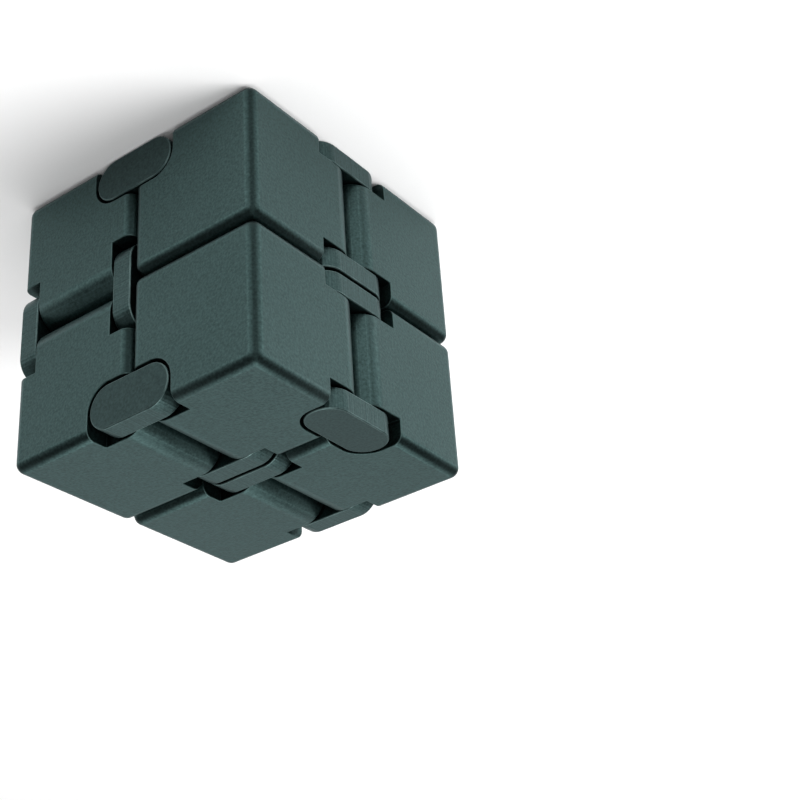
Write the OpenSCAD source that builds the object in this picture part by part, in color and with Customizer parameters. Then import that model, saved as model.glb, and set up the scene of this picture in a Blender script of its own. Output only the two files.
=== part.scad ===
// Folding fidget cube: eight metal blocks in a closed ring, joined edge to edge by eight
// double-pivot hinges. A hinge is two round-ended links, one at each end of the shared
// edge, and two long pins. Each pin turns in the bore of one block and is pressed into a
// blind hole in both links. Z is up, the closed cube rests on z = 0, centred on x = y = 0.
// Left is -X, where the vertical spine hinges are; front is -Y.

/* [Blocks] */
// Length of every side of a block
block_side = 19.8; // [17:0.1:26]
// Gap between neighbouring blocks when the cube is closed
block_gap = 0.4; // [0.2:0.1:1]
// Radius of the small rounding on the edges that have no hinge
edge_radius = 1.4; // [0.3:0.1:2]

/* [Pins] */
// Distance from a pin's axis to each of the two faces that meet at its hinge edge
pin_inset = 3.2; // [2.5:0.1:3.8]
// Diameter of a pin
pin_diameter = 2; // [1.2:0.1:2.6]
// Radial clearance of a pin in its block
pin_clearance = 0.05; // [0.02:0.01:0.1]
// Radial interference of a pin's end in its link
pin_press = 0.01; // [0.005:0.005:0.02]
// Chamfer on a pin's ends
pin_chamfer = 0.2; // [0.1:0.05:0.4]

/* [Links] */
// Thickness of a link
link_thickness = 3; // [2.4:0.1:4]
// Thickness of the metal that closes a link's blind holes
link_skin = 1; // [0.6:0.1:1.6]
// How far a link's long edges lie inside the face that they bridge
link_edge_drop = 0.15; // [0.02:0.01:0.4]
// How far a link's broad face lies inside the blocks' side faces
link_face_drop = 0.05; // [0.02:0.01:0.2]
// Chamfer round a link's broad faces
link_chamfer = 0.2; // [0.1:0.05:0.4]

/* [Pockets] */
// Clearance between a link's round end and its pocket
pocket_clearance = 0.4; // [0.15:0.05:0.5]
// Clearance between a link's inner face and the pocket's floor
pocket_end_clearance = 0.25; // [0.1:0.05:0.4]

/* [Hidden] */
$fn = 64;
slack = 1;                                    // how far a cutter reaches past what it cuts
half_cube = block_side + block_gap / 2;
pin_spread = pin_inset + block_gap / 2;       // from a hinge's middle plane to a pin's axis
pin_height = half_cube - pin_inset;           // from the cube's centre to a pin's axis
link_radius = pin_inset - link_edge_drop;
link_start = half_cube - link_face_drop - link_thickness;
pocket_radius = link_radius + pocket_clearance;
pocket_reach = pin_inset + pocket_radius;
pocket_depth = link_face_drop + link_thickness + pocket_end_clearance;
bore_diameter = pin_diameter + 2 * pin_clearance;
press_diameter = pin_diameter - 2 * pin_press;
pin_length = block_side - 2 * (link_face_drop + link_skin);
block_middle = (block_gap + block_side) / 2;  // from the cube's centre to a block's

BLOCK_COLOUR = [0.24, 0.31, 0.31];
LINK_COLOUR = [0.20, 0.26, 0.26];
PIN_COLOUR = [0.72, 0.73, 0.74];

// Corners of a unit square, in the order that quarter turns reach them
SQUARE_CORNERS = [[0, 0], [1, 0], [1, 1], [0, 1]];
NO_BARREL = -1;

// Turns that carry a hinge from its own frame to its place
SPINE_TURN = [0, 0, 90];
END_TURN = [90, 0, 0];
SIDE_TURN = [0, -90, 180];

// Name, direction from the cube's centre, and whether it is one of the spine's blocks
BLOCKS = [
    for (x = [-1, 1], y = [-1, 1], z = [-1, 1])
        [str(z < 0 ? "lower" : "upper", x < 0 ? "_left" : "_right", y < 0 ? "_front" : "_back", "_block"),
         [x, y, z], x < 0]
];

// Where each of a hinge's two pins ends up, and its direction in the hinge's own frame
SPINE_PINS = [["back", 1], ["front", -1]];
END_PINS = [["right", 1], ["left", -1]];
SIDE_PINS = [["upper", 1], ["lower", -1]];

// Name, turn, the planes in which the hinge is then mirrored, and its pins
HINGES = [
    ["spine_upper", SPINE_TURN, [0, 0, 0], SPINE_PINS],
    ["spine_lower", SPINE_TURN, [0, 0, 1], SPINE_PINS],
    ["top_front", END_TURN, [0, 0, 0], END_PINS],
    ["top_back", END_TURN, [0, 1, 0], END_PINS],
    ["bottom_front", END_TURN, [0, 0, 1], END_PINS],
    ["bottom_back", END_TURN, [0, 1, 1], END_PINS],
    ["side_front", SIDE_TURN, [0, 0, 0], SIDE_PINS],
    ["side_back", SIDE_TURN, [0, 1, 0], SIDE_PINS]
];

// A hinge's two links, and whether each is at the end nearer the cube's middle
LINK_ENDS = [["outer", 0], ["inner", 1]];

function link_name(hinge, end) = str(hinge[0], "_link_", end[0]);
function pin_name(hinge, side) = str(hinge[0], "_pin_", side[0]);

// What a rounding takes off a square corner at the origin
module corner_waste(radius) {
    difference() {
        translate([-slack, -slack]) square(radius + slack);
        translate([radius, radius]) circle(radius);
    }
}

// A block's outline seen along one axis: a hinge edge is a full barrel round its pin
module block_outline(barrel_corner) {
    difference() {
        square(block_side);
        for (i = [0:3])
            translate(block_side * SQUARE_CORNERS[i]) rotate(90 * i)
                corner_waste(i == barrel_corner ? pin_inset : edge_radius);
    }
}

// The rounded block before its hinges are cut, with its inner corner at the origin
module blank(barrel_x, barrel_y, barrel_z) {
    intersection() {
        rotate([90, 0, 90]) linear_extrude(block_side) block_outline(barrel_x);
        translate([0, block_side, 0]) rotate([90, 0, 0])
            linear_extrude(block_side) block_outline(barrel_y);
        linear_extrude(block_side) block_outline(barrel_z);
    }
}

// The notch that lets a link's end swing a quarter turn, at a hinge edge on the origin
module pocket_outline() {
    difference() {
        translate([-slack, -slack]) square(pocket_reach + slack);
        translate([pocket_reach, pocket_reach]) rotate(180) corner_waste(pocket_radius);
    }
}

// All that is cut for one hinge whose edge runs along Z from the origin
module hinge_cuts() {
    for (z = [-slack, block_side - pocket_depth])
        translate([0, 0, z]) linear_extrude(pocket_depth + slack) pocket_outline();
    translate([pin_inset, pin_inset, -slack])
        cylinder(d = bore_diameter, h = block_side + 2 * slack);
}

// A block of the spine: one hinge on its end face, one on the cube's left face
module spine_block() {
    difference() {
        blank(NO_BARREL, 3, 1);
        translate([0, 0, block_side]) rotate([-90, 0, 0]) hinge_cuts();
        translate([block_side, 0, 0]) rotate([0, 0, 90]) hinge_cuts();
    }
}

// A block of the right side: one hinge on its end face, one on the cube's front or back
module side_block() {
    difference() {
        blank(1, 3, NO_BARREL);
        translate([0, 0, block_side]) rotate([-90, 0, 0]) hinge_cuts();
        translate([0, block_side, 0]) rotate([0, -90, 180]) hinge_cuts();
    }
}

// A block in its corner of the cube
module placed_block(direction, on_spine) {
    color(BLOCK_COLOUR)
        translate([0, 0, half_cube])
            mirror([direction.x < 0 ? 1 : 0, 0, 0])
                mirror([0, direction.y < 0 ? 1 : 0, 0])
                    mirror([0, 0, direction.z < 0 ? 1 : 0])
                        translate(block_gap / 2 * [1, 1, 1])
                            if (on_spine) spine_block(); else side_block();
}

// Half of a link's section, from its middle line out to its rim
module link_section() {
    polygon([
        [0, 0],
        [link_radius - link_chamfer, 0],
        [link_radius, link_chamfer],
        [link_radius, link_thickness - link_chamfer],
        [link_radius - link_chamfer, link_thickness],
        [0, link_thickness]
    ]);
}

// A link at the outer end of its hinge: a bar with round ends and two blind pin holes
module link() {
    difference() {
        translate([0, pin_height, link_start]) {
            for (x = [-pin_spread, pin_spread])
                translate([x, 0, 0]) rotate_extrude() link_section();
            for (side = [0, 1])
                mirror([0, side, 0]) translate([-pin_spread, 0, 0])
                    rotate([90, 0, 90]) linear_extrude(2 * pin_spread) link_section();
        }
        for (x = [-pin_spread, pin_spread])
            translate([x, pin_height, link_start - slack])
                cylinder(d = press_diameter, h = link_thickness - link_skin + slack);
    }
}

// A pin, chamfered at both ends, between the blind ends of its two links
module pin() {
    pin_radius = pin_diameter / 2;
    translate([0, pin_height, block_middle - pin_length / 2])
        rotate_extrude()
            polygon([
                [0, 0],
                [pin_radius - pin_chamfer, 0],
                [pin_radius, pin_chamfer],
                [pin_radius, pin_length - pin_chamfer],
                [pin_radius - pin_chamfer, pin_length],
                [0, pin_length]
            ]);
}

// A hinge's piece, carried from the hinge's own frame to its edge of the cube
module at_hinge(hinge) {
    translate([0, 0, half_cube])
        mirror([0, hinge[2].y, 0])
            mirror([0, 0, hinge[2].z])
                rotate(hinge[1]) children();
}

// The inner link is the outer one turned end for end about the middle of the block
module placed_link(hinge, at_inner_end) {
    color(LINK_COLOUR)
        at_hinge(hinge)
            translate([0, 0, at_inner_end * 2 * block_middle])
                mirror([0, 0, at_inner_end]) link();
}

module placed_pin(hinge, side) {
    color(PIN_COLOUR) at_hinge(hinge) translate([side * pin_spread, 0, 0]) pin();
}

for (block = BLOCKS)
    placed_block(block[1], block[2]);

for (hinge = HINGES, end = LINK_ENDS)
    placed_link(hinge, end[1]);

for (hinge = HINGES, side = hinge[3])
    placed_pin(hinge, side[1]);
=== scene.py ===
import math

import bmesh
import bpy
from mathutils import Euler, Matrix, Vector


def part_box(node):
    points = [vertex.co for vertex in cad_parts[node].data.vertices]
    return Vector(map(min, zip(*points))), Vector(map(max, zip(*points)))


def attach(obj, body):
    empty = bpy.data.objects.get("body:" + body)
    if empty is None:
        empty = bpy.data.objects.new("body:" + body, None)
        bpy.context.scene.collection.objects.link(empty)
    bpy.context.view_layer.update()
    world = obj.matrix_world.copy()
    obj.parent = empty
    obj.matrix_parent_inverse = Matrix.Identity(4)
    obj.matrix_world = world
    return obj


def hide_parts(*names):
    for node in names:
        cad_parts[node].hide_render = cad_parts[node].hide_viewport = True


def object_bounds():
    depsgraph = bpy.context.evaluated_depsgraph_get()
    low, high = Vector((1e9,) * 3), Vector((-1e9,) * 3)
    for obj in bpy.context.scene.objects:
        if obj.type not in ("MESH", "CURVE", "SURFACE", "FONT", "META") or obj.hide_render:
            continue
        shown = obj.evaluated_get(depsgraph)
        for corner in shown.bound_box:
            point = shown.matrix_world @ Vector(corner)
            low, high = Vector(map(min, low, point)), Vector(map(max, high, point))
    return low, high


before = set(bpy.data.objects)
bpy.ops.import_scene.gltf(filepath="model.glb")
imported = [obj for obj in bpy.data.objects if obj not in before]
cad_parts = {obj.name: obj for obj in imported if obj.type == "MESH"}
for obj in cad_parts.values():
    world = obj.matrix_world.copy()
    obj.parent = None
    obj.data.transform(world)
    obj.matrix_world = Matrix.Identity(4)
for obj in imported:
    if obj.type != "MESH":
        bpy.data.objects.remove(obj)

cad_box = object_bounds()
cube_low, cube_high = (Vector(corner) for corner in cad_box)

# ---------------------------------------------------------------- camera
# A long lens a good five cubes away looks down on the closed cube's top, left and front
# faces. It is held upside down and a few degrees off level, so the top face hangs lowest.

EYE = Vector((-0.1188, -0.1348, 0.1323))
LOOK_AZIMUTH = math.radians(34.86)
LOOK_DOWN = math.radians(29.64)
CAMERA_ROLL = math.radians(175.85)
SENSOR_WIDTH = 36
LENS = 72.05
CLIP_START = 0.01
CLIP_END = 20

camera = bpy.data.objects.new("camera", bpy.data.cameras.new("camera"))
camera.data.sensor_width = SENSOR_WIDTH
camera.data.lens = LENS
camera.data.clip_start = CLIP_START
camera.data.clip_end = CLIP_END
camera.matrix_world = (
    Matrix.Translation(EYE)
    @ Matrix.Rotation(-LOOK_AZIMUTH, 4, "Z")
    @ Matrix.Rotation(math.pi / 2 - LOOK_DOWN, 4, "X")
    @ Matrix.Rotation(CAMERA_ROLL, 4, "Z")
)
bpy.context.scene.collection.objects.link(camera)
bpy.context.scene.camera = camera

# ---------------------------------------------------------------- floor and light
# A matt white table, wide enough to fill the view, in a pale room with three large soft
# lamps. The room is bright beyond the cube and overhead, and dim on the camera's side.

FLOOR_WIDTH = 6.0
FLOOR_CELLS = 8
FLOOR_ROUGHNESS = 0.9
FLOOR_WHITE = (0.86, 0.86, 0.86, 1)
ROOM_WHITE = (1.0, 1.0, 1.0, 1)
ROOM_BRIGHT = 1.08
ROOM_DIM = 0.22
ROOM_HORIZON = 0.5
ROOM_BACKDROP = 0.9
ROOM_SIDE_RANGE = (-0.25, 0.35)
ROOM_HEIGHT_RANGE = (0.05, 0.55)

floor_mesh = bpy.data.meshes.new("floor")
floor_shape = bmesh.new()
bmesh.ops.create_grid(floor_shape, x_segments=FLOOR_CELLS, y_segments=FLOOR_CELLS, size=FLOOR_WIDTH / 2)
floor_shape.to_mesh(floor_mesh)
floor_shape.free()
floor_mesh.transform(Matrix.Translation((0, 0, cube_low.z)))
floor = bpy.data.objects.new("floor", floor_mesh)
bpy.context.scene.collection.objects.link(floor)

floor_paint = bpy.data.materials.new("floor_paint")
floor_paint.use_nodes = True
floor_shader = floor_paint.node_tree.nodes["Principled BSDF"]
floor_shader.inputs["Base Color"].default_value = FLOOR_WHITE
floor_shader.inputs["Roughness"].default_value = FLOOR_ROUGHNESS
floor_mesh.materials.append(floor_paint)

room = bpy.data.worlds.new("room")
room.use_nodes = True
room_nodes = room.node_tree.nodes
room_place = room_nodes.new("ShaderNodeTexCoord")
room_side = room_nodes.new("ShaderNodeVectorMath")
room_side.operation = "DOT_PRODUCT"
room_side.inputs[1].default_value = EYE.normalized()
room_height = room_nodes.new("ShaderNodeSeparateXYZ")
room_rise = room_nodes.new("ShaderNodeMapRange")
room_rise.interpolation_type = "SMOOTHSTEP"
room_rise.inputs["From Min"].default_value = ROOM_HEIGHT_RANGE[0]
room_rise.inputs["From Max"].default_value = ROOM_HEIGHT_RANGE[1]
room_rise.inputs["To Min"].default_value = ROOM_HORIZON
room_both = room_nodes.new("ShaderNodeMath")
room_both.operation = "MULTIPLY"
room_shade = room_nodes.new("ShaderNodeMapRange")
room_shade.interpolation_type = "SMOOTHSTEP"
room_shade.inputs["From Min"].default_value = ROOM_SIDE_RANGE[0]
room_shade.inputs["From Max"].default_value = ROOM_SIDE_RANGE[1]
room_shade.inputs["To Min"].default_value = ROOM_BRIGHT
room_shade.inputs["To Max"].default_value = ROOM_DIM
room_seen = room_nodes.new("ShaderNodeLightPath")
room_backdrop = room_nodes.new("ShaderNodeMath")
room_backdrop.operation = "MULTIPLY"
room_backdrop.inputs[1].default_value = ROOM_BACKDROP
room_most = room_nodes.new("ShaderNodeMath")
room_most.operation = "MAXIMUM"
room_glow = room_nodes["Background"]
room_glow.inputs["Color"].default_value = ROOM_WHITE
room_links = room.node_tree.links
room_links.new(room_place.outputs["Generated"], room_side.inputs[0])
room_links.new(room_side.outputs["Value"], room_shade.inputs["Value"])
room_links.new(room_place.outputs["Generated"], room_height.inputs[0])
room_links.new(room_height.outputs["Z"], room_rise.inputs["Value"])
room_links.new(room_shade.outputs["Result"], room_both.inputs[0])
room_links.new(room_rise.outputs["Result"], room_both.inputs[1])
room_links.new(room_seen.outputs["Is Camera Ray"], room_backdrop.inputs[0])
room_links.new(room_both.outputs["Value"], room_most.inputs[0])
room_links.new(room_backdrop.outputs["Value"], room_most.inputs[1])
room_links.new(room_most.outputs["Value"], room_glow.inputs["Strength"])
bpy.context.scene.world = room
bpy.context.scene.view_settings.view_transform = "Standard"


def soft_lamp(name, place, target, width, power):
    lamp = bpy.data.objects.new(name, bpy.data.lights.new(name, "AREA"))
    lamp.data.shape = "DISK"
    lamp.data.size = width
    lamp.data.energy = power
    lamp.location = place
    lamp.rotation_euler = (target - Vector(place)).to_track_quat("-Z", "Y").to_euler()
    bpy.context.scene.collection.objects.link(lamp)
    return lamp


cube_middle = (cube_low + cube_high) / 2
soft_lamp("overhead_lamp", (0.0, 0.05, 0.85), cube_middle, 0.90, 4.4)
# The left lamp is kept out of the metal's reflections, so it only lights the table.
floor_lamp = soft_lamp("left_lamp", (-0.55, 0.28, 0.40), cube_middle, 0.50, 5.8)
floor_lamp.visible_glossy = False
soft_lamp("front_lamp", (-0.65, -0.65, 0.45), cube_middle, 1.10, 2.6)

# ---------------------------------------------------------------- blocks
# Eight solid aluminium cubes, milled, bead blasted and anodised a dark grey-green. Every
# block has two hinge edges turned to a full barrel round their pin, with a square notch
# at each end for a link to swing in. The other edges are rounded over by tumbling.

left_pin_low, left_pin_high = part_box("top_front_pin_left")
block_low, block_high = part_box("upper_left_front_block")
link_low, link_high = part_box("top_front_link_outer")
BLOCK_SIDE = block_high.x - block_low.x
BLOCK_GAP = -2 * block_high.x
PIN_RADIUS = (left_pin_high.x - left_pin_low.x) / 2
PIN_INSET = block_high.z - (left_pin_low.z + left_pin_high.z) / 2
LINK_HALF_WIDTH = (link_high.z - link_low.z) / 2
LINK_THICKNESS = link_high.y - link_low.y
LINK_FACE_DROP = link_low.y - block_low.y
EDGE_RADIUS = 0.0014
EDGE_STEPS = 10
EDGE_TOLERANCE = 0.00002
PIN_CLEARANCE = 0.00005
POCKET_CLEARANCE = 0.0004
POCKET_END_CLEARANCE = 0.00025
BORE_RADIUS = PIN_RADIUS + PIN_CLEARANCE
BORE_SIDES = 48
POCKET_RADIUS = LINK_HALF_WIDTH + POCKET_CLEARANCE
POCKET_DEPTH = LINK_FACE_DROP + LINK_THICKNESS + POCKET_END_CLEARANCE
POCKET_STEPS = 14
BROKEN_EDGE = 0.00013
BROKEN_STEPS = 2
CUT_SLACK = 0.001
SIDE_TOLERANCE = 0.1
SHARP_ANGLE = math.radians(35)
FLAT_LIMIT = math.cos(math.radians(0.5))
SMOOTH_LIMIT = math.cos(math.radians(50))
# Attributes the material reads: rubbed rims that are also painted highlight, how far round a rounding
# is for painted highlight and shade, and notch walls for painted shade.
WEAR_AND_HIGHLIGHT_NAME = "edge_wear_and_highlight"
TURN_NAME = "edge_turn"
RECESS_NAME = "recess"
INWARD_LIMIT = 0.05
RECESS_DEPTH = 0.001


def new_object(name, mesh):
    made = bpy.data.objects.new(name, mesh)
    bpy.context.scene.collection.objects.link(made)
    return made


def plain_mesh(shaped, name):
    """The shape that an object's modifiers give it, as a mesh of its own."""
    ready = shaped.evaluated_get(bpy.context.evaluated_depsgraph_get())
    mesh = bpy.data.meshes.new_from_object(ready)
    mesh.name = name
    return mesh


def rounded_block_shape(barrel_edges):
    """A cube with its inner corner at the origin. barrel_edges are (axis, side, side): an
    edge runs along the axis, at side 0 or 1 of the two axes that follow it in x, y, z."""
    shape = bmesh.new()
    bmesh.ops.create_cube(shape, size=BLOCK_SIDE)
    bmesh.ops.translate(shape, verts=shape.verts, vec=Vector([BLOCK_SIDE / 2] * 3))
    weight = shape.edges.layers.float.new("bevel_weight_edge")
    for edge in shape.edges:
        edge[weight] = EDGE_RADIUS / PIN_INSET
        middle = (edge.verts[0].co + edge.verts[1].co) / 2 / BLOCK_SIDE
        for axis, first, second in barrel_edges:
            sides = [middle[i] for i in range(3) if i != axis]
            away = max(abs(sides[0] - first), abs(sides[1] - second))
            if away < SIDE_TOLERANCE:
                edge[weight] = 1.0
    mesh = bpy.data.meshes.new("block_blank")
    shape.to_mesh(mesh)
    shape.free()
    blank = new_object("block_blank", mesh)
    rounding = blank.modifiers.new("rounding", "BEVEL")
    rounding.limit_method = "WEIGHT"
    rounding.width = PIN_INSET
    rounding.segments = EDGE_STEPS
    return blank


def prism(outline, start, end):
    """A closed solid with that outline, from z = start to z = end."""
    shape = bmesh.new()
    lower = [shape.verts.new((x, y, start)) for x, y in outline]
    upper = [shape.verts.new((x, y, end)) for x, y in outline]
    shape.faces.new(lower[::-1])
    shape.faces.new(upper)
    for i in range(len(outline)):
        j = (i + 1) % len(outline)
        shape.faces.new((lower[i], lower[j], upper[j], upper[i]))
    mesh = bpy.data.meshes.new("cutter")
    shape.to_mesh(mesh)
    shape.free()
    return mesh


def arc(centre, radius, start, end, steps):
    angles = [start + (end - start) * i / steps for i in range(steps + 1)]
    return [(centre[0] + radius * math.cos(a), centre[1] + radius * math.sin(a)) for a in angles]


def hinge_cutters(turn):
    """The two notches and the bore of one hinge edge, turned from the Z axis to its edge."""
    inner = PIN_INSET + POCKET_RADIUS
    notch = [(-CUT_SLACK, -CUT_SLACK), (inner, -CUT_SLACK)]
    notch += arc((PIN_INSET, PIN_INSET), POCKET_RADIUS, 0, math.pi / 2, POCKET_STEPS)
    notch += [(-CUT_SLACK, inner)]
    bore = arc((PIN_INSET, PIN_INSET), BORE_RADIUS, 0, 2 * math.pi, BORE_SIDES)[:-1]
    cutters = [
        prism(notch, -CUT_SLACK, POCKET_DEPTH),
        prism(notch, BLOCK_SIDE - POCKET_DEPTH, BLOCK_SIDE + CUT_SLACK),
        prism(bore, -CUT_SLACK, BLOCK_SIDE + CUT_SLACK),
    ]
    for cutter in cutters:
        cutter.transform(turn)
    return [new_object("cutter", cutter) for cutter in cutters]


def break_edges(piece, width, steps):
    """Rounds a machined piece's sharp edges, and marks what it rounded with the second slot."""
    for face in piece.data.polygons:
        face.material_index = 0
    while len(piece.data.materials) < 2:
        piece.data.materials.append(None)
    breaking = piece.modifiers.new("broken_edges", "BEVEL")
    breaking.limit_method = "ANGLE"
    breaking.angle_limit = SHARP_ANGLE
    breaking.width = width
    breaking.segments = steps
    breaking.material = 1


# The material paints the marked rims paler, as rubbing and as a painted highlight.
def mark_wear_and_highlight(mesh):
    """Turns the second slot's faces into a face attribute where they round an outward edge,
    and leaves the slots empty."""
    beside = {}
    for face in mesh.polygons:
        for edge in face.edge_keys:
            beside.setdefault(edge, []).append(face)
    wear_and_highlight = mesh.attributes.new(WEAR_AND_HIGHLIGHT_NAME, "FLOAT", "FACE")
    for face in mesh.polygons:
        rises = [
            (other.center - face.center).normalized().dot(face.normal)
            for edge in face.edge_keys
            for other in beside[edge]
            if other != face
        ]
        outward = max(rises, default=0) < INWARD_LIMIT
        wear_and_highlight.data[face.index].value = float(face.material_index == 1 and outward)
        face.material_index = 0
    mesh.materials.clear()


def shade_machined(mesh):
    """Gives flat faces their own normal, and curved ones a smooth normal that runs into the
    flat faces beside them. A corner sharper than the limit stays sharp."""
    for face in mesh.polygons:
        face.use_smooth = True
    flat = [max(abs(part) for part in face.normal) > FLAT_LIMIT for face in mesh.polygons]
    around = [[] for vertex in mesh.vertices]
    for face in mesh.polygons:
        for vertex in face.vertices:
            around[vertex].append(face.index)
    normals = []
    for face in mesh.polygons:
        for vertex in face.vertices:
            if flat[face.index]:
                normals.append(face.normal.copy())
                continue
            near = [
                i for i in around[vertex]
                if mesh.polygons[i].normal.dot(face.normal) > SMOOTH_LIMIT
            ]
            beside = [i for i in near if flat[i]] or near
            normals.append(sum((mesh.polygons[i].normal for i in beside), Vector()).normalized())
    mesh.normals_split_custom_set(normals)


# The material turns this into a painted highlight along a rounding's border and painted shade in its
# middle and along the barrels.
def mark_turn(mesh):
    """A point attribute that rises from 0 on the faces to 1 along the middle of an edge's
    rounding or a barrel. In the notches it stays 0."""
    turn = mesh.attributes.new(TURN_NAME, "FLOAT", "POINT")
    half = BLOCK_SIDE / 2
    middle_of_edge = 1 - math.sqrt(1 / 2)
    middle_of_corner = 1 - math.sqrt(1 / 3)
    for vertex in mesh.vertices:
        depths = sorted(half - abs(part - half) for part in vertex.co)
        small = depths[1] < EDGE_RADIUS
        radius = EDGE_RADIUS if small else PIN_INSET
        deepest = radius * (middle_of_corner if small else middle_of_edge)
        rounded = depths[1] < radius and depths[0] < deepest + EDGE_TOLERANCE
        amount = depths[0] / (radius * middle_of_edge)
        turn.data[vertex.index].value = min(1, amount) if rounded else 0


# The material turns this into painted shade on the notches' and bores' walls.
def mark_recess(mesh):
    """A face attribute that is 1 on the walls of the notches and bores."""
    recess = mesh.attributes.new(RECESS_NAME, "FLOAT", "FACE")
    half = BLOCK_SIDE / 2
    for face in mesh.polygons:
        depth = min(half - abs(part - half) for part in face.center)
        recess.data[face.index].value = float(depth > RECESS_DEPTH)


def block_master(barrel_edges, turns):
    blank = rounded_block_shape(barrel_edges)
    cutters = [cutter for turn in turns for cutter in hinge_cutters(turn)]
    for cutter in cutters:
        cut = blank.modifiers.new("cut", "BOOLEAN")
        cut.object = cutter
        cut.solver = "EXACT"
    machined = new_object("machined", plain_mesh(blank, "machined"))
    for spare in [blank, *cutters]:
        bpy.data.objects.remove(spare)
    break_edges(machined, BROKEN_EDGE, BROKEN_STEPS)
    mesh = plain_mesh(machined, "block")
    mark_wear_and_highlight(mesh)
    mark_turn(mesh)
    mark_recess(mesh)
    bpy.data.objects.remove(machined)
    return mesh


# Turns that carry a hinge edge from the Z axis to the block's end face, to the cube's
# left face, and to the cube's front or back face.
TO_END_FACE = Matrix.Translation((0, 0, BLOCK_SIDE)) @ Matrix.Rotation(-math.pi / 2, 4, "X")
TO_LEFT_FACE = Matrix.Translation((BLOCK_SIDE, 0, 0)) @ Matrix.Rotation(math.pi / 2, 4, "Z")
TO_SIDE_FACE = (
    Matrix.Translation((0, BLOCK_SIDE, 0))
    @ Euler((0, -math.pi / 2, math.pi)).to_matrix().to_4x4()
)
END_EDGE = (1, 0, 1)
LEFT_EDGE = (2, 1, 0)
SIDE_EDGE = (0, 1, 0)

spine_block = block_master([END_EDGE, LEFT_EDGE], [TO_END_FACE, TO_LEFT_FACE])
side_block = block_master([END_EDGE, SIDE_EDGE], [TO_END_FACE, TO_SIDE_FACE])


def join(nodes, links):
    """Links sockets given as (node, output, node, input), by name or number."""
    for source, output, target, entry in links:
        nodes.id_data.links.new(source.outputs[output], target.inputs[entry])


# The anodised surface: how far the shade drifts, the beads' marks and the handled edges' patches.
# Then the painted highlight and painted shade across a rounding, as (how far round, colour factor)
# from its border to its middle, and the colour left on the notches' walls under their painted shade.
DRIFT_SCALE = 70
BEAD_SPECKLE = (0.72, 1.30)
BEAD_POLISH = 0.05
NOISE_MIDDLE = (0.3, 0.7)
POLISH_MIDDLE = (0.25, 0.75)
PATCH_SCALE = 420
PATCH_MIDDLE = (0.35, 0.65)
PATCH_LEAST = 0.25
RECESS_PAINTED_SHADE = 0.25
EDGE_TINT = (0.90, 0.97, 0.98, 1)
EDGE_HIGHLIGHT_AND_SHADE_STEPS = [(0, 1), (0.05, 1.3), (0.17, 1), (0.7, 0.42), (1, 0.38)]


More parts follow.
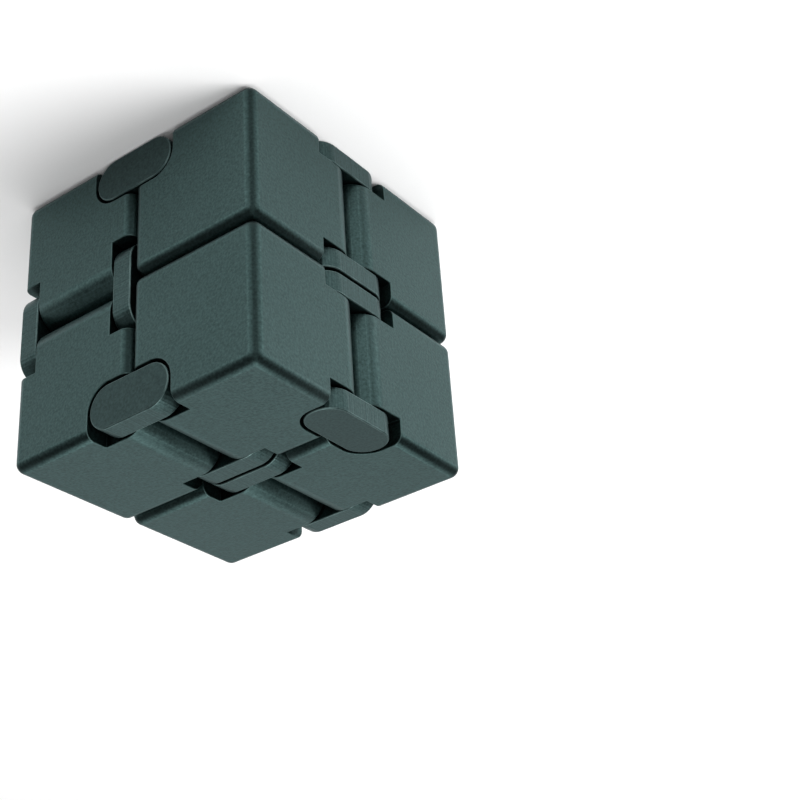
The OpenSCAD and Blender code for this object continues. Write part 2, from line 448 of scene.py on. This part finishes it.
def anodised(name, dark, light, worn_and_highlight, roughness, grain, depth):
    """Dyed anodising over blasted aluminium: a fine even grain, a slow drift of shade, paler
    metal on rubbed outward rims that is also a painted highlight there, a painted highlight along
    each rounding's border, and painted shade in the roundings and barrels and on the notches' walls."""
    material = bpy.data.materials.new(name)
    material.use_nodes = True
    nodes = material.node_tree.nodes
    shader = nodes["Principled BSDF"]
    shader.inputs["Metallic"].default_value = 1.0
    shader.inputs["Specular Tint"].default_value = EDGE_TINT
    place = nodes.new("ShaderNodeTexCoord")

    drift = nodes.new("ShaderNodeTexNoise")
    drift.inputs["Scale"].default_value = DRIFT_SCALE
    drift.inputs["Detail"].default_value = 3
    shade = nodes.new("ShaderNodeMix")
    shade.data_type = "RGBA"
    shade.inputs["A"].default_value = dark
    shade.inputs["B"].default_value = light

    beads = nodes.new("ShaderNodeTexNoise")
    beads.inputs["Scale"].default_value = 1 / grain
    beads.inputs["Detail"].default_value = 2.5
    beads.inputs["Roughness"].default_value = 0.6
    speckle = nodes.new("ShaderNodeMapRange")
    speckle.inputs["From Min"].default_value = NOISE_MIDDLE[0]
    speckle.inputs["From Max"].default_value = NOISE_MIDDLE[1]
    speckle.inputs["To Min"].default_value = BEAD_SPECKLE[0]
    speckle.inputs["To Max"].default_value = BEAD_SPECKLE[1]
    speckled = nodes.new("ShaderNodeVectorMath")
    speckled.operation = "SCALE"

    # Paler metal on rubbed outward rims, in patches, which is also a painted highlight along the rims.
    wear_and_highlight = nodes.new("ShaderNodeAttribute")
    wear_and_highlight.attribute_name = WEAR_AND_HIGHLIGHT_NAME
    patches = nodes.new("ShaderNodeTexNoise")
    patches.inputs["Scale"].default_value = PATCH_SCALE
    patches.inputs["Detail"].default_value = 4
    patchy = nodes.new("ShaderNodeMapRange")
    patchy.inputs["From Min"].default_value = PATCH_MIDDLE[0]
    patchy.inputs["From Max"].default_value = PATCH_MIDDLE[1]
    patchy.inputs["To Min"].default_value = PATCH_LEAST
    worn_and_highlight_here = nodes.new("ShaderNodeMath")
    worn_and_highlight_here.operation = "MULTIPLY"
    rim_wear_and_highlight_mix = nodes.new("ShaderNodeMix")
    rim_wear_and_highlight_mix.data_type = "RGBA"
    rim_wear_and_highlight_mix.inputs["B"].default_value = worn_and_highlight

    # Painted highlight and painted shade across the roundings and barrels: the colour rises to 1.3
    # times near a rounding's border and falls to 0.38 times in its middle.
    turn = nodes.new("ShaderNodeAttribute")
    turn.attribute_name = TURN_NAME
    edge_highlight_and_shade_ramp = nodes.new("ShaderNodeValToRGB")
    steps = edge_highlight_and_shade_ramp.color_ramp.elements
    while len(steps) < len(EDGE_HIGHLIGHT_AND_SHADE_STEPS):
        steps.new(1)
    for step, (position, amount) in zip(steps, EDGE_HIGHLIGHT_AND_SHADE_STEPS):
        step.position = position
        step.color = (amount / 2, amount / 2, amount / 2, 1)
    edge_highlight_and_shade_amount = nodes.new("ShaderNodeMath")
    edge_highlight_and_shade_amount.operation = "MULTIPLY"
    edge_highlight_and_shade_amount.inputs[1].default_value = 2
    edge_highlight_and_shade_scaled = nodes.new("ShaderNodeVectorMath")
    edge_highlight_and_shade_scaled.operation = "SCALE"

    # Painted shade on the walls of the notches and bores: their colour falls to a quarter.
    recess = nodes.new("ShaderNodeAttribute")
    recess.attribute_name = RECESS_NAME
    recess_painted_shade = nodes.new("ShaderNodeMapRange")
    recess_painted_shade.inputs["To Min"].default_value = 1
    recess_painted_shade.inputs["To Max"].default_value = RECESS_PAINTED_SHADE
    recess_painted_shaded = nodes.new("ShaderNodeVectorMath")
    recess_painted_shaded.operation = "SCALE"

    polish = nodes.new("ShaderNodeMapRange")
    polish.inputs["From Min"].default_value = POLISH_MIDDLE[0]
    polish.inputs["From Max"].default_value = POLISH_MIDDLE[1]
    polish.inputs["To Min"].default_value = roughness - BEAD_POLISH
    polish.inputs["To Max"].default_value = roughness + BEAD_POLISH

    bump = nodes.new("ShaderNodeBump")
    bump.inputs["Strength"].default_value = 1.0
    bump.inputs["Distance"].default_value = depth

    join(nodes, [
        (place, "Object", drift, "Vector"),
        (place, "Object", beads, "Vector"),
        (place, "Object", patches, "Vector"),
        (drift, "Fac", shade, "Factor"),
        (shade, "Result", speckled, 0),
        (beads, "Fac", speckle, "Value"),
        (speckle, "Result", speckled, "Scale"),
        (patches, "Fac", patchy, "Value"),
        (patchy, "Result", worn_and_highlight_here, 0),
        (wear_and_highlight, "Fac", worn_and_highlight_here, 1),
        (worn_and_highlight_here, "Value", rim_wear_and_highlight_mix, "Factor"),
        (turn, "Fac", edge_highlight_and_shade_ramp, "Fac"),
        (edge_highlight_and_shade_ramp, "Color", edge_highlight_and_shade_amount, 0),
        (speckled, "Vector", edge_highlight_and_shade_scaled, 0),
        (edge_highlight_and_shade_amount, "Value", edge_highlight_and_shade_scaled, "Scale"),
        (edge_highlight_and_shade_scaled, "Vector", rim_wear_and_highlight_mix, "A"),
        (recess, "Fac", recess_painted_shade, "Value"),
        (rim_wear_and_highlight_mix, "Result", recess_painted_shaded, 0),
        (recess_painted_shade, "Result", recess_painted_shaded, "Scale"),
        (recess_painted_shaded, "Vector", shader, "Base Color"),
        (beads, "Fac", polish, "Value"),
        (polish, "Result", shader, "Roughness"),
        (beads, "Fac", bump, "Height"),
        (bump, "Normal", shader, "Normal"),
    ])
    return material


block_finish = anodised(
    "anodised_block",
    dark=(0.042, 0.075, 0.073, 1),
    light=(0.050, 0.087, 0.085, 1),
    worn_and_highlight=(0.085, 0.138, 0.134, 1),
    roughness=0.42,
    grain=0.00034,
    depth=0.000035,
)


def place_block(level, side, end, body):
    """A block's own corner of the cube is a mirror image of the master's."""
    signs = [
        -1 if side == "left" else 1,
        -1 if end == "front" else 1,
        -1 if level == "lower" else 1,
    ]
    mesh = (spine_block if side == "left" else side_block).copy()
    mesh.transform(Matrix.Translation(Vector([BLOCK_GAP / 2] * 3)))
    mesh.transform(Matrix.Diagonal((*signs, 1)))
    if signs[0] * signs[1] * signs[2] < 0:
        mesh.flip_normals()
    mesh.transform(Matrix.Translation((0, 0, cube_middle.z)))
    shade_machined(mesh)
    mesh.materials.append(block_finish)
    node = f"{level}_{side}_{end}_block"
    block = new_object(f"block_{level}_{side}_{end}", mesh)
    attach(block, body)
    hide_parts(node)


for level in ("lower", "upper"):
    for end in ("front", "back"):
        place_block(level, "left", end, f"{level}_left_{end}")
        place_block(level, "right", end, f"right_{end}_pair")

# ---------------------------------------------------------------- links
# Sixteen flat bars with round ends join the blocks, two to a hinge. They are cut from
# plate, drilled half through for the two pins and anodised with the blocks.

LINK_RIM = 0.00018
LINK_RIM_STEPS = 3
LINK_END_STEPS = 20
LINK_SKIN = 0.001
PIN_SPACING = 2 * PIN_INSET + BLOCK_GAP
WALL_NAME = "narrow_wall"
ROUND_NAME = "way_round"
WALL_FACING = 0.3
CUT_PITCH = 0.00028
CUT_PALENESS = (1.2, 1.65)
CUT_DEPTH = 0.00003
WELD_DISTANCE = 1e-7


def link_tree():
    """One link lying on z = 0 with its drilled face down: a rectangle with full round ends,
    filled and thickened, less a drill at each pin."""
    tree = bpy.data.node_groups.new("link", "GeometryNodeTree")
    tree.interface.new_socket("Geometry", in_out="OUTPUT", socket_type="NodeSocketGeometry")
    for name in ("Pin Spacing", "Half Width", "Thickness", "Hole Radius", "Hole Depth"):
        tree.interface.new_socket(name, in_out="INPUT", socket_type="NodeSocketFloat")
    tree.interface.new_socket("Finish", in_out="INPUT", socket_type="NodeSocketMaterial")
    nodes = tree.nodes
    given = nodes.new("NodeGroupInput")
    result = nodes.new("NodeGroupOutput")

    width = nodes.new("ShaderNodeMath")
    width.operation = "MULTIPLY"
    width.inputs[1].default_value = 2
    length = nodes.new("ShaderNodeMath")
    length.operation = "ADD"
    outline = nodes.new("GeometryNodeCurvePrimitiveQuadrilateral")
    round_ends = nodes.new("GeometryNodeFilletCurve")
    round_ends.mode = "POLY"
    round_ends.inputs["Count"].default_value = LINK_END_STEPS
    round_ends.inputs["Limit Radius"].default_value = True
    plate = nodes.new("GeometryNodeFillCurve")
    plate.mode = "NGONS"
    thick = nodes.new("GeometryNodeExtrudeMesh")
    thick.inputs["Individual"].default_value = False
    underside = nodes.new("GeometryNodeFlipFaces")
    solid = nodes.new("GeometryNodeJoinGeometry")
    sealed = nodes.new("GeometryNodeMergeByDistance")
    sealed.inputs["Distance"].default_value = WELD_DISTANCE

    drill_depth = nodes.new("ShaderNodeMath")
    drill_depth.operation = "MULTIPLY"
    drill_depth.inputs[1].default_value = 2
    drill = nodes.new("GeometryNodeMeshCylinder")
    drill.inputs["Vertices"].default_value = BORE_SIDES
    first_pin = nodes.new("ShaderNodeMath")
    first_pin.operation = "MULTIPLY"
    first_pin.inputs[1].default_value = -0.5
    first_place = nodes.new("ShaderNodeCombineXYZ")
    step = nodes.new("ShaderNodeCombineXYZ")
    pins = nodes.new("GeometryNodeMeshLine")
    pins.inputs["Count"].default_value = 2
    drills = nodes.new("GeometryNodeInstanceOnPoints")
    drills_real = nodes.new("GeometryNodeRealizeInstances")
    drilled = nodes.new("GeometryNodeMeshBoolean")
    drilled.operation = "DIFFERENCE"
    real = nodes.new("GeometryNodeRealizeInstances")
    painted = nodes.new("GeometryNodeSetMaterial")

    join(nodes, [
        (given, "Half Width", width, 0),
        (given, "Pin Spacing", length, 0),
        (width, "Value", length, 1),
        (length, "Value", outline, "Width"),
        (width, "Value", outline, "Height"),
        (outline, "Curve", round_ends, "Curve"),
        (given, "Half Width", round_ends, "Radius"),
        (round_ends, "Curve", plate, "Curve"),
        (plate, "Mesh", thick, "Mesh"),
        (given, "Thickness", thick, "Offset Scale"),
        (plate, "Mesh", underside, "Mesh"),
        (underside, "Mesh", solid, "Geometry"),
        (thick, "Mesh", solid, "Geometry"),
        (solid, "Geometry", sealed, "Geometry"),
        (given, "Hole Radius", drill, "Radius"),
        (given, "Hole Depth", drill_depth, 0),
        (drill_depth, "Value", drill, "Depth"),
        (given, "Pin Spacing", first_pin, 0),
        (first_pin, "Value", first_place, "X"),
        (given, "Pin Spacing", step, "X"),
        (first_place, "Vector", pins, "Start Location"),
        (step, "Vector", pins, "Offset"),
        (pins, "Mesh", drills, "Points"),
        (drill, "Mesh", drills, "Instance"),
        (drills, "Instances", drills_real, "Geometry"),
        (sealed, "Geometry", drilled, "Mesh 1"),
        (drills_real, "Geometry", drilled, "Mesh 2"),
        (drilled, "Mesh", real, "Geometry"),
        (real, "Geometry", painted, "Geometry"),
        (given, "Finish", painted, "Material"),
        (painted, "Geometry", result, "Geometry"),
    ])
    return tree


def mark_walls(mesh):
    """A face attribute that is 1 on the narrow wall, and a point attribute that measures the
    way round it from the link's middle."""
    wall = mesh.attributes.new(WALL_NAME, "FLOAT", "FACE")
    for face in mesh.polygons:
        wall.data[face.index].value = float(abs(face.normal.z) < WALL_FACING)
    way = mesh.attributes.new(ROUND_NAME, "FLOAT", "POINT")
    straight = PIN_SPACING / 2
    for vertex in mesh.vertices:
        x, y = vertex.co.xy
        past = abs(x) - straight
        arc_length = LINK_HALF_WIDTH * math.atan2(past, abs(y)) if past > 0 else past
        way.data[vertex.index].value = math.copysign(straight + arc_length, x)


def add_cut_lines(material):
    """Fine lines across the narrow wall from the milling cutter, which also leave it paler."""
    nodes = material.node_tree.nodes
    shader = nodes["Principled BSDF"]
    wall = nodes.new("ShaderNodeAttribute")
    wall.attribute_name = WALL_NAME
    way = nodes.new("ShaderNodeAttribute")
    way.attribute_name = ROUND_NAME
    lines = nodes.new("ShaderNodeTexNoise")
    lines.noise_dimensions = "1D"
    lines.inputs["Scale"].default_value = 1 / CUT_PITCH
    lines.inputs["Detail"].default_value = 1
    pale = nodes.new("ShaderNodeMapRange")
    pale.inputs["From Min"].default_value = NOISE_MIDDLE[0]
    pale.inputs["From Max"].default_value = NOISE_MIDDLE[1]
    pale.inputs["To Min"].default_value = CUT_PALENESS[0]
    pale.inputs["To Max"].default_value = CUT_PALENESS[1]
    less_one = nodes.new("ShaderNodeMath")
    less_one.operation = "SUBTRACT"
    less_one.inputs[1].default_value = 1
    on_wall = nodes.new("ShaderNodeMath")
    on_wall.operation = "MULTIPLY_ADD"
    on_wall.inputs[2].default_value = 1
    paler = nodes.new("ShaderNodeVectorMath")
    paler.operation = "SCALE"
    ridge_height = nodes.new("ShaderNodeMath")
    ridge_height.operation = "MULTIPLY"
    ridges = nodes.new("ShaderNodeBump")
    ridges.inputs["Strength"].default_value = 1.0
    ridges.inputs["Distance"].default_value = CUT_DEPTH
    colour = shader.inputs["Base Color"].links[0].from_node
    grain = shader.inputs["Normal"].links[0].from_node
    join(nodes, [
        (way, "Fac", lines, "W"),
        (lines, "Fac", pale, "Value"),
        (pale, "Result", less_one, 0),
        (less_one, "Value", on_wall, 0),
        (wall, "Fac", on_wall, 1),
        (colour, "Vector", paler, 0),
        (on_wall, "Value", paler, "Scale"),
        (paler, "Vector", shader, "Base Color"),
        (lines, "Fac", ridge_height, 0),
        (wall, "Fac", ridge_height, 1),
        (ridge_height, "Value", ridges, "Height"),
        (grain, "Normal", ridges, "Normal"),
        (ridges, "Normal", shader, "Normal"),
    ])


link_finish = anodised(
    "anodised_link",
    dark=(0.028, 0.049, 0.048, 1),
    light=(0.034, 0.058, 0.057, 1),
    worn_and_highlight=(0.095, 0.145, 0.142, 1),
    roughness=0.40,
    grain=0.00030,
    depth=0.000010,
)
add_cut_lines(link_finish)


def link_master():
    blank = new_object("link_blank", bpy.data.meshes.new("link_blank"))
    milling = blank.modifiers.new("milling", "NODES")
    milling.node_group = link_tree()
    sizes = {
        "Pin Spacing": PIN_SPACING,
        "Half Width": LINK_HALF_WIDTH,
        "Thickness": LINK_THICKNESS,
        "Hole Radius": PIN_RADIUS,
        "Hole Depth": LINK_THICKNESS - LINK_SKIN,
        "Finish": link_finish,
    }
    for socket in milling.node_group.interface.items_tree:
        if socket.in_out == "INPUT":
            milling[socket.identifier] = sizes[socket.name]
    milled = new_object("link_milled", plain_mesh(blank, "link_milled"))
    bpy.data.objects.remove(blank)
    break_edges(milled, LINK_RIM, LINK_RIM_STEPS)
    mesh = plain_mesh(milled, "link")
    mark_wear_and_highlight(mesh)
    mark_walls(mesh)
    mesh.materials.append(link_finish)
    bpy.data.objects.remove(milled)
    return mesh


straight_link = link_master()


def axis_vector(axis, sign):
    vector = Vector((0, 0, 0))
    vector[axis] = sign
    return vector


def place_link(hinge, end, other_end, body):
    """A link lies along its box's longest side, with its drilled face to the hinge's other."""
    node = f"{hinge}_link_{end}"
    low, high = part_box(node)
    other_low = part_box(f"{hinge}_link_{other_end}")[0]
    size = high - low
    long_axis = max(range(3), key=lambda i: size[i])
    thin_axis = min(range(3), key=lambda i: size[i])
    outward = math.copysign(1, (low - other_low)[thin_axis])
    along = axis_vector(long_axis, 1)
    up = axis_vector(thin_axis, outward)
    middle = (low + high) / 2 - up * LINK_THICKNESS / 2
    mesh = straight_link.copy()
    turn = Matrix((along, up.cross(along), up)).transposed().to_4x4()
    mesh.transform(Matrix.Translation(middle) @ turn)
    shade_machined(mesh)
    link = new_object(f"link_{hinge}_{end}", mesh)
    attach(link, body)
    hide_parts(node)


HINGE_BODIES = {
    "spine_upper": "spine_upper_hinge",
    "spine_lower": "spine_lower_hinge",
    "top_front": "top_front_hinge",
    "top_back": "top_back_hinge",
    "bottom_front": "bottom_front_hinge",
    "bottom_back": "bottom_back_hinge",
    "side_front": "right_front_pair",
    "side_back": "right_back_pair",
}
for hinge, body in HINGE_BODIES.items():
    place_link(hinge, "outer", "inner", body)
    place_link(hinge, "inner", "outer", body)

# ---------------------------------------------------------------- pins
# Two ground steel rods to a hinge, chamfered at both ends. Each turns in the long bore of
# one block, and its ends are pressed into the blind holes of both links.

STEEL_DARK = (0.42, 0.43, 0.44, 1)
STEEL_LIGHT = (0.56, 0.57, 0.57, 1)
STEEL_ROUGHNESS = (0.18, 0.34)
STEEL_CLOUDS = 600
STEEL_GRAIN = 6000
STEEL_GRAIN_DEPTH = 0.000002


def ground_steel():
    """Bright steel with a cloudy polish and a very fine grain from the grinding."""
    material = bpy.data.materials.new("ground_steel")
    material.use_nodes = True
    nodes = material.node_tree.nodes
    shader = nodes["Principled BSDF"]
    shader.inputs["Metallic"].default_value = 1.0
    place = nodes.new("ShaderNodeTexCoord")
    cloud = nodes.new("ShaderNodeTexNoise")
    cloud.inputs["Scale"].default_value = STEEL_CLOUDS
    cloud.inputs["Detail"].default_value = 3
    tint = nodes.new("ShaderNodeMix")
    tint.data_type = "RGBA"
    tint.inputs["A"].default_value = STEEL_DARK
    tint.inputs["B"].default_value = STEEL_LIGHT
    polish = nodes.new("ShaderNodeMapRange")
    polish.inputs["To Min"].default_value = STEEL_ROUGHNESS[0]
    polish.inputs["To Max"].default_value = STEEL_ROUGHNESS[1]
    scratches = nodes.new("ShaderNodeTexNoise")
    scratches.inputs["Scale"].default_value = STEEL_GRAIN
    scratches.inputs["Detail"].default_value = 2
    bump = nodes.new("ShaderNodeBump")
    bump.inputs["Distance"].default_value = STEEL_GRAIN_DEPTH
    join(nodes, [
        (place, "Object", cloud, "Vector"),
        (place, "Object", scratches, "Vector"),
        (cloud, "Fac", tint, "Factor"),
        (tint, "Result", shader, "Base Color"),
        (cloud, "Fac", polish, "Value"),
        (polish, "Result", shader, "Roughness"),
        (scratches, "Fac", bump, "Height"),
        (bump, "Normal", shader, "Normal"),
    ])
    return material


pin_finish = ground_steel()
for name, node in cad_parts.items():
    if "_pin_" in name:
        node.material_slots[0].material = pin_finish
